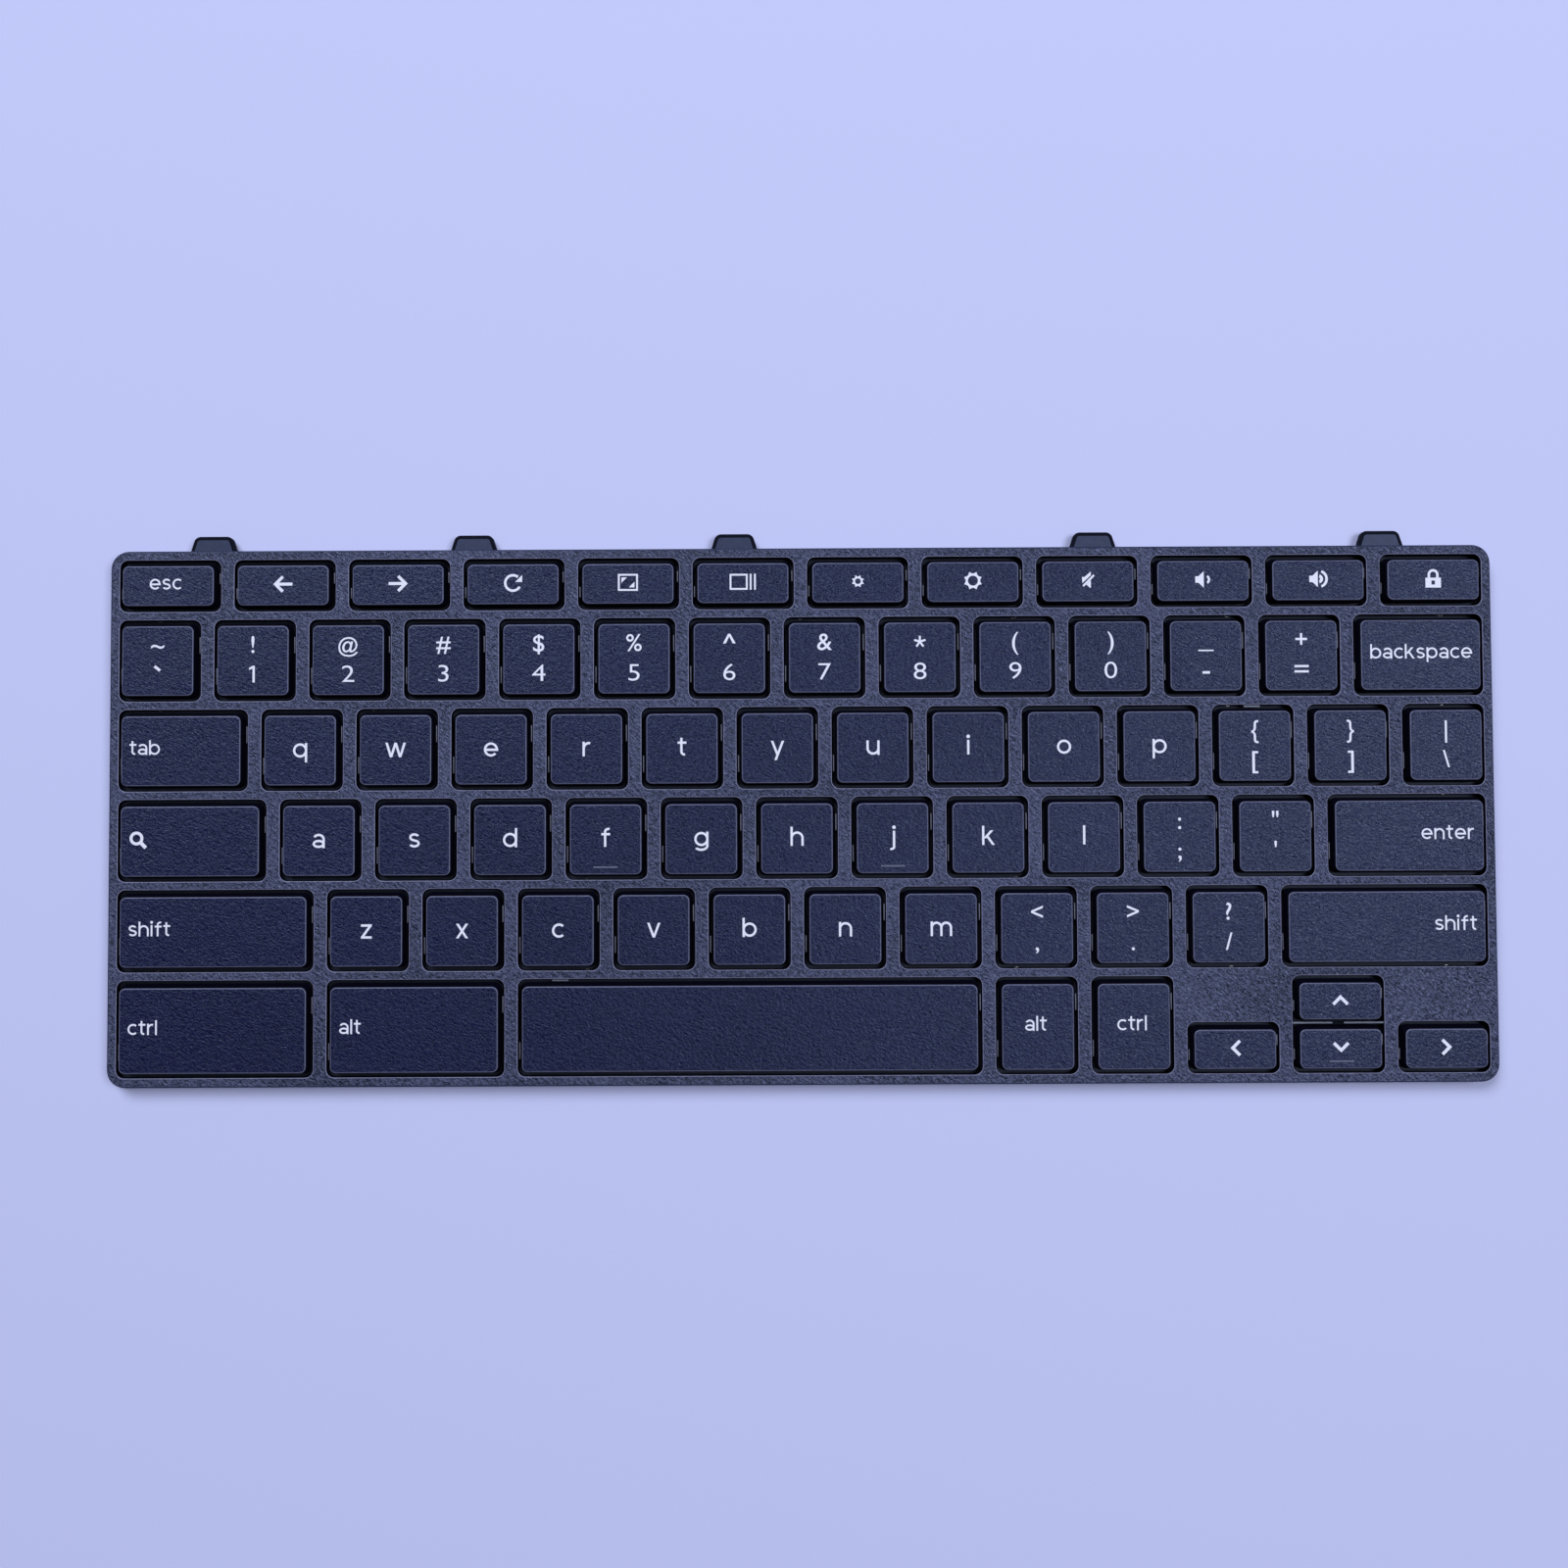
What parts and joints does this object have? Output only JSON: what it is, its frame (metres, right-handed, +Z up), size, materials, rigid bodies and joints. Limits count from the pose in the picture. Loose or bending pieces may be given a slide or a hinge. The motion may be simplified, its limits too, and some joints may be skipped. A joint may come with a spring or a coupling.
{
  "type": "laptop keyboard module",
  "caption": "Laptop keyboard in a moulded lattice frame, with island keys that press down on scissor arms over a steel back plate.",
  "frame": {"origin": "middle of the whole outline on the surface that the module lies on", "axes": "+X along the key rows to the right, +Y towards the function row and its tongues, +Z up out of the keytops"},
  "size_m": [0.2766, 0.1102, 0.0049],
  "materials": {
    "frame_plastic": "dark grey-violet moulded plastic with a fine leather grain",
    "key_plastic": "near-black moulded plastic with a fine matt grain",
    "legend_ink": "white printed key symbols",
    "plate_steel": "stamped plate, dull",
    "switch_film": "milky plastic film",
    "dome_rubber": "pale silicone rubber",
    "arm_plastic": "white moulded nylon",
    "wire_steel": "bright drawn spring wire"
  },
  "bodies": {
    "base": {"bezel": "frame_plastic", "back_plate": "plate_steel", "membrane": "switch_film", "rubber_domes": "dome_rubber", "scissor_arms": "arm_plastic", "upper_row_keycaps": "key_plastic"},
    "key_left_ctrl": {"key_left_ctrl": "key_plastic"},
    "key_left_alt": {"key_left_alt": "key_plastic"},
    "key_space": {"key_space": "key_plastic"},
    "key_right_alt": {"key_right_alt": "key_plastic"},
    "key_right_ctrl": {"key_right_ctrl": "key_plastic"},
    "key_arrow_left": {"key_arrow_left": "key_plastic"},
    "key_arrow_down": {"key_arrow_down": "key_plastic"},
    "key_arrow_right": {"key_arrow_right": "key_plastic"},
    "key_left_shift": {"key_left_shift": "key_plastic"},
    "key_z": {"key_z": "key_plastic"},
    "key_x": {"key_x": "key_plastic"},
    "key_c": {"key_c": "key_plastic"},
    "key_v": {"key_v": "key_plastic"},
    "key_b": {"key_b": "key_plastic"},
    "key_n": {"key_n": "key_plastic"},
    "key_m": {"key_m": "key_plastic"},
    "key_comma": {"key_comma": "key_plastic"},
    "key_period": {"key_period": "key_plastic"},
    "key_slash": {"key_slash": "key_plastic"},
    "key_right_shift": {"key_right_shift": "key_plastic"},
    "key_search": {"key_search": "key_plastic"},
    "key_a": {"key_a": "key_plastic"},
    "key_s": {"key_s": "key_plastic"},
    "key_d": {"key_d": "key_plastic"},
    "key_f": {"key_f": "key_plastic"},
    "key_g": {"key_g": "key_plastic"},
    "key_h": {"key_h": "key_plastic"},
    "key_j": {"key_j": "key_plastic"},
    "key_k": {"key_k": "key_plastic"},
    "key_l": {"key_l": "key_plastic"},
    "key_semicolon": {"key_semicolon": "key_plastic"},
    "key_quote": {"key_quote": "key_plastic"},
    "key_enter": {"key_enter": "key_plastic"},
    "key_tab": {"key_tab": "key_plastic"},
    "key_q": {"key_q": "key_plastic"},
    "key_w": {"key_w": "key_plastic"},
    "key_e": {"key_e": "key_plastic"},
    "key_r": {"key_r": "key_plastic"},
    "key_t": {"key_t": "key_plastic"},
    "key_y": {"key_y": "key_plastic"},
    "key_u": {"key_u": "key_plastic"},
    "key_i": {"key_i": "key_plastic"},
    "key_o": {"key_o": "key_plastic"},
    "key_p": {"key_p": "key_plastic"},
    "key_left_bracket": {"key_left_bracket": "key_plastic"},
    "key_right_bracket": {"key_right_bracket": "key_plastic"},
    "key_backslash": {"key_backslash": "key_plastic"},
    "key_arrow_up": {"key_arrow_up": "key_plastic"},
    "wire_space": {"wire_space": "wire_steel"},
    "wire_left_shift": {"wire_left_shift": "wire_steel"},
    "wire_right_shift": {"wire_right_shift": "wire_steel"},
    "wire_enter": {"wire_enter": "wire_steel"},
    "wire_left_ctrl": {"wire_left_ctrl": "wire_steel"},
    "wire_left_alt": {"wire_left_alt": "wire_steel"}
  },
  "joints": [
    {"name": "key_left_ctrl_press", "type": "slide", "parent": "base", "child": "key_left_ctrl", "axis": [0, 0, -1], "range_m": [0, 0.0015], "stiffness_N_per_m": 200, "springref_m": -0.0015, "deforming": ["rubber_domes", "scissor_arms"]},
    {"name": "key_left_alt_press", "type": "slide", "parent": "base", "child": "key_left_alt", "axis": [0, 0, -1], "range_m": [0, 0.0015], "stiffness_N_per_m": 200, "springref_m": -0.0015, "deforming": ["rubber_domes", "scissor_arms"]},
    {"name": "key_space_press", "type": "slide", "parent": "base", "child": "key_space", "axis": [0, 0, -1], "range_m": [0, 0.0015], "stiffness_N_per_m": 200, "springref_m": -0.0015, "deforming": ["rubber_domes", "scissor_arms"]},
    {"name": "key_right_alt_press", "type": "slide", "parent": "base", "child": "key_right_alt", "axis": [0, 0, -1], "range_m": [0, 0.0015], "stiffness_N_per_m": 200, "springref_m": -0.0015, "deforming": ["rubber_domes", "scissor_arms"]},
    {"name": "key_right_ctrl_press", "type": "slide", "parent": "base", "child": "key_right_ctrl", "axis": [0, 0, -1], "range_m": [0, 0.0015], "stiffness_N_per_m": 200, "springref_m": -0.0015, "deforming": ["rubber_domes", "scissor_arms"]},
    {"name": "key_arrow_left_press", "type": "slide", "parent": "base", "child": "key_arrow_left", "axis": [0, 0, -1], "range_m": [0, 0.0015], "stiffness_N_per_m": 200, "springref_m": -0.0015, "deforming": ["rubber_domes", "scissor_arms"]},
    {"name": "key_arrow_down_press", "type": "slide", "parent": "base", "child": "key_arrow_down", "axis": [0, 0, -1], "range_m": [0, 0.0015], "stiffness_N_per_m": 200, "springref_m": -0.0015, "deforming": ["rubber_domes", "scissor_arms"]},
    {"name": "key_arrow_right_press", "type": "slide", "parent": "base", "child": "key_arrow_right", "axis": [0, 0, -1], "range_m": [0, 0.0015], "stiffness_N_per_m": 200, "springref_m": -0.0015, "deforming": ["rubber_domes", "scissor_arms"]},
    {"name": "key_left_shift_press", "type": "slide", "parent": "base", "child": "key_left_shift", "axis": [0, 0, -1], "range_m": [0, 0.0015], "stiffness_N_per_m": 200, "springref_m": -0.0015, "deforming": ["rubber_domes", "scissor_arms"]},
    {"name": "key_z_press", "type": "slide", "parent": "base", "child": "key_z", "axis": [0, 0, -1], "range_m": [0, 0.0015], "stiffness_N_per_m": 200, "springref_m": -0.0015, "deforming": ["rubber_domes", "scissor_arms"]},
    {"name": "key_x_press", "type": "slide", "parent": "base", "child": "key_x", "axis": [0, 0, -1], "range_m": [0, 0.0015], "stiffness_N_per_m": 200, "springref_m": -0.0015, "deforming": ["rubber_domes", "scissor_arms"]},
    {"name": "key_c_press", "type": "slide", "parent": "base", "child": "key_c", "axis": [0, 0, -1], "range_m": [0, 0.0015], "stiffness_N_per_m": 200, "springref_m": -0.0015, "deforming": ["rubber_domes", "scissor_arms"]},
    {"name": "key_v_press", "type": "slide", "parent": "base", "child": "key_v", "axis": [0, 0, -1], "range_m": [0, 0.0015], "stiffness_N_per_m": 200, "springref_m": -0.0015, "deforming": ["rubber_domes", "scissor_arms"]},
    {"name": "key_b_press", "type": "slide", "parent": "base", "child": "key_b", "axis": [0, 0, -1], "range_m": [0, 0.0015], "stiffness_N_per_m": 200, "springref_m": -0.0015, "deforming": ["rubber_domes", "scissor_arms"]},
    {"name": "key_n_press", "type": "slide", "parent": "base", "child": "key_n", "axis": [0, 0, -1], "range_m": [0, 0.0015], "stiffness_N_per_m": 200, "springref_m": -0.0015, "deforming": ["rubber_domes", "scissor_arms"]},
    {"name": "key_m_press", "type": "slide", "parent": "base", "child": "key_m", "axis": [0, 0, -1], "range_m": [0, 0.0015], "stiffness_N_per_m": 200, "springref_m": -0.0015, "deforming": ["rubber_domes", "scissor_arms"]},
    {"name": "key_comma_press", "type": "slide", "parent": "base", "child": "key_comma", "axis": [0, 0, -1], "range_m": [0, 0.0015], "stiffness_N_per_m": 200, "springref_m": -0.0015, "deforming": ["rubber_domes", "scissor_arms"]},
    {"name": "key_period_press", "type": "slide", "parent": "base", "child": "key_period", "axis": [0, 0, -1], "range_m": [0, 0.0015], "stiffness_N_per_m": 200, "springref_m": -0.0015, "deforming": ["rubber_domes", "scissor_arms"]},
    {"name": "key_slash_press", "type": "slide", "parent": "base", "child": "key_slash", "axis": [0, 0, -1], "range_m": [0, 0.0015], "stiffness_N_per_m": 200, "springref_m": -0.0015, "deforming": ["rubber_domes", "scissor_arms"]},
    {"name": "key_right_shift_press", "type": "slide", "parent": "base", "child": "key_right_shift", "axis": [0, 0, -1], "range_m": [0, 0.0015], "stiffness_N_per_m": 200, "springref_m": -0.0015, "deforming": ["rubber_domes", "scissor_arms"]},
    {"name": "key_search_press", "type": "slide", "parent": "base", "child": "key_search", "axis": [0, 0, -1], "range_m": [0, 0.0015], "stiffness_N_per_m": 200, "springref_m": -0.0015, "deforming": ["rubber_domes", "scissor_arms"]},
    {"name": "key_a_press", "type": "slide", "parent": "base", "child": "key_a", "axis": [0, 0, -1], "range_m": [0, 0.0015], "stiffness_N_per_m": 200, "springref_m": -0.0015, "deforming": ["rubber_domes", "scissor_arms"]},
    {"name": "key_s_press", "type": "slide", "parent": "base", "child": "key_s", "axis": [0, 0, -1], "range_m": [0, 0.0015], "stiffness_N_per_m": 200, "springref_m": -0.0015, "deforming": ["rubber_domes", "scissor_arms"]},
    {"name": "key_d_press", "type": "slide", "parent": "base", "child": "key_d", "axis": [0, 0, -1], "range_m": [0, 0.0015], "stiffness_N_per_m": 200, "springref_m": -0.0015, "deforming": ["rubber_domes", "scissor_arms"]},
    {"name": "key_f_press", "type": "slide", "parent": "base", "child": "key_f", "axis": [0, 0, -1], "range_m": [0, 0.0015], "stiffness_N_per_m": 200, "springref_m": -0.0015, "deforming": ["rubber_domes", "scissor_arms"]},
    {"name": "key_g_press", "type": "slide", "parent": "base", "child": "key_g", "axis": [0, 0, -1], "range_m": [0, 0.0015], "stiffness_N_per_m": 200, "springref_m": -0.0015, "deforming": ["rubber_domes", "scissor_arms"]},
    {"name": "key_h_press", "type": "slide", "parent": "base", "child": "key_h", "axis": [0, 0, -1], "range_m": [0, 0.0015], "stiffness_N_per_m": 200, "springref_m": -0.0015, "deforming": ["rubber_domes", "scissor_arms"]},
    {"name": "key_j_press", "type": "slide", "parent": "base", "child": "key_j", "axis": [0, 0, -1], "range_m": [0, 0.0015], "stiffness_N_per_m": 200, "springref_m": -0.0015, "deforming": ["rubber_domes", "scissor_arms"]},
    {"name": "key_k_press", "type": "slide", "parent": "base", "child": "key_k", "axis": [0, 0, -1], "range_m": [0, 0.0015], "stiffness_N_per_m": 200, "springref_m": -0.0015, "deforming": ["rubber_domes", "scissor_arms"]},
    {"name": "key_l_press", "type": "slide", "parent": "base", "child": "key_l", "axis": [0, 0, -1], "range_m": [0, 0.0015], "stiffness_N_per_m": 200, "springref_m": -0.0015, "deforming": ["rubber_domes", "scissor_arms"]},
    {"name": "key_semicolon_press", "type": "slide", "parent": "base", "child": "key_semicolon", "axis": [0, 0, -1], "range_m": [0, 0.0015], "stiffness_N_per_m": 200, "springref_m": -0.0015, "deforming": ["rubber_domes", "scissor_arms"]},
    {"name": "key_quote_press", "type": "slide", "parent": "base", "child": "key_quote", "axis": [0, 0, -1], "range_m": [0, 0.0015], "stiffness_N_per_m": 200, "springref_m": -0.0015, "deforming": ["rubber_domes", "scissor_arms"]},
    {"name": "key_enter_press", "type": "slide", "parent": "base", "child": "key_enter", "axis": [0, 0, -1], "range_m": [0, 0.0015], "stiffness_N_per_m": 200, "springref_m": -0.0015, "deforming": ["rubber_domes", "scissor_arms"]},
    {"name": "key_tab_press", "type": "slide", "parent": "base", "child": "key_tab", "axis": [0, 0, -1], "range_m": [0, 0.0015], "stiffness_N_per_m": 200, "springref_m": -0.0015, "deforming": ["rubber_domes", "scissor_arms"]},
    {"name": "key_q_press", "type": "slide", "parent": "base", "child": "key_q", "axis": [0, 0, -1], "range_m": [0, 0.0015], "stiffness_N_per_m": 200, "springref_m": -0.0015, "deforming": ["rubber_domes", "scissor_arms"]},
    {"name": "key_w_press", "type": "slide", "parent": "base", "child": "key_w", "axis": [0, 0, -1], "range_m": [0, 0.0015], "stiffness_N_per_m": 200, "springref_m": -0.0015, "deforming": ["rubber_domes", "scissor_arms"]},
    {"name": "key_e_press", "type": "slide", "parent": "base", "child": "key_e", "axis": [0, 0, -1], "range_m": [0, 0.0015], "stiffness_N_per_m": 200, "springref_m": -0.0015, "deforming": ["rubber_domes", "scissor_arms"]},
    {"name": "key_r_press", "type": "slide", "parent": "base", "child": "key_r", "axis": [0, 0, -1], "range_m": [0, 0.0015], "stiffness_N_per_m": 200, "springref_m": -0.0015, "deforming": ["rubber_domes", "scissor_arms"]},
    {"name": "key_t_press", "type": "slide", "parent": "base", "child": "key_t", "axis": [0, 0, -1], "range_m": [0, 0.0015], "stiffness_N_per_m": 200, "springref_m": -0.0015, "deforming": ["rubber_domes", "scissor_arms"]},
    {"name": "key_y_press", "type": "slide", "parent": "base", "child": "key_y", "axis": [0, 0, -1], "range_m": [0, 0.0015], "stiffness_N_per_m": 200, "springref_m": -0.0015, "deforming": ["rubber_domes", "scissor_arms"]},
    {"name": "key_u_press", "type": "slide", "parent": "base", "child": "key_u", "axis": [0, 0, -1], "range_m": [0, 0.0015], "stiffness_N_per_m": 200, "springref_m": -0.0015, "deforming": ["rubber_domes", "scissor_arms"]},
    {"name": "key_i_press", "type": "slide", "parent": "base", "child": "key_i", "axis": [0, 0, -1], "range_m": [0, 0.0015], "stiffness_N_per_m": 200, "springref_m": -0.0015, "deforming": ["rubber_domes", "scissor_arms"]},
    {"name": "key_o_press", "type": "slide", "parent": "base", "child": "key_o", "axis": [0, 0, -1], "range_m": [0, 0.0015], "stiffness_N_per_m": 200, "springref_m": -0.0015, "deforming": ["rubber_domes", "scissor_arms"]},
    {"name": "key_p_press", "type": "slide", "parent": "base", "child": "key_p", "axis": [0, 0, -1], "range_m": [0, 0.0015], "stiffness_N_per_m": 200, "springref_m": -0.0015, "deforming": ["rubber_domes", "scissor_arms"]},
    {"name": "key_left_bracket_press", "type": "slide", "parent": "base", "child": "key_left_bracket", "axis": [0, 0, -1], "range_m": [0, 0.0015], "stiffness_N_per_m": 200, "springref_m": -0.0015, "deforming": ["rubber_domes", "scissor_arms"]},
    {"name": "key_right_bracket_press", "type": "slide", "parent": "base", "child": "key_right_bracket", "axis": [0, 0, -1], "range_m": [0, 0.0015], "stiffness_N_per_m": 200, "springref_m": -0.0015, "deforming": ["rubber_domes", "scissor_arms"]},
    {"name": "key_backslash_press", "type": "slide", "parent": "base", "child": "key_backslash", "axis": [0, 0, -1], "range_m": [0, 0.0015], "stiffness_N_per_m": 200, "springref_m": -0.0015, "deforming": ["rubber_domes", "scissor_arms"]},
    {"name": "key_arrow_up_press", "type": "slide", "parent": "base", "child": "key_arrow_up", "axis": [0, 0, -1], "range_m": [0, 0.0015], "stiffness_N_per_m": 200, "springref_m": -0.0015, "deforming": ["rubber_domes", "scissor_arms"]},
    {"name": "wire_space_swing", "type": "hinge", "parent": "key_space", "child": "wire_space", "pos_m": [-0.01045, -0.03773, 0.00335], "axis": [-1, 0, 0], "range_deg": [0, 12]},
    {"name": "wire_left_shift_swing", "type": "hinge", "parent": "key_left_shift", "child": "wire_left_shift", "pos_m": [-0.11685, -0.01825, 0.00335], "axis": [-1, 0, 0], "range_deg": [0, 12]},
    {"name": "wire_right_shift_swing", "type": "hinge", "parent": "key_right_shift", "child": "wire_right_shift", "pos_m": [0.1159, -0.01825, 0.00335], "axis": [-1, 0, 0], "range_deg": [0, 12]},
    {"name": "wire_enter_swing", "type": "hinge", "parent": "key_enter", "child": "wire_enter", "pos_m": [0.12065, -0.00025, 0.00335], "axis": [-1, 0, 0], "range_deg": [0, 12]},
    {"name": "wire_left_ctrl_swing", "type": "hinge", "parent": "key_left_ctrl", "child": "wire_left_ctrl", "pos_m": [-0.11685, -0.03773, 0.00335], "axis": [-1, 0, 0], "range_deg": [0, 12]},
    {"name": "wire_left_alt_swing", "type": "hinge", "parent": "key_left_alt", "child": "wire_left_alt", "pos_m": [-0.07695, -0.03773, 0.00335], "axis": [-1, 0, 0], "range_deg": [0, 12]}
  ],
  "couplings": [
    {"joint": "wire_space_swing", "follows": "key_space_press", "rad_per_m": 135.64},
    {"joint": "wire_left_shift_swing", "follows": "key_left_shift_press", "rad_per_m": 135.64},
    {"joint": "wire_right_shift_swing", "follows": "key_right_shift_press", "rad_per_m": 135.64},
    {"joint": "wire_enter_swing", "follows": "key_enter_press", "rad_per_m": 135.64},
    {"joint": "wire_left_ctrl_swing", "follows": "key_left_ctrl_press", "rad_per_m": 135.64},
    {"joint": "wire_left_alt_swing", "follows": "key_left_alt_press", "rad_per_m": 135.64}
  ]
}
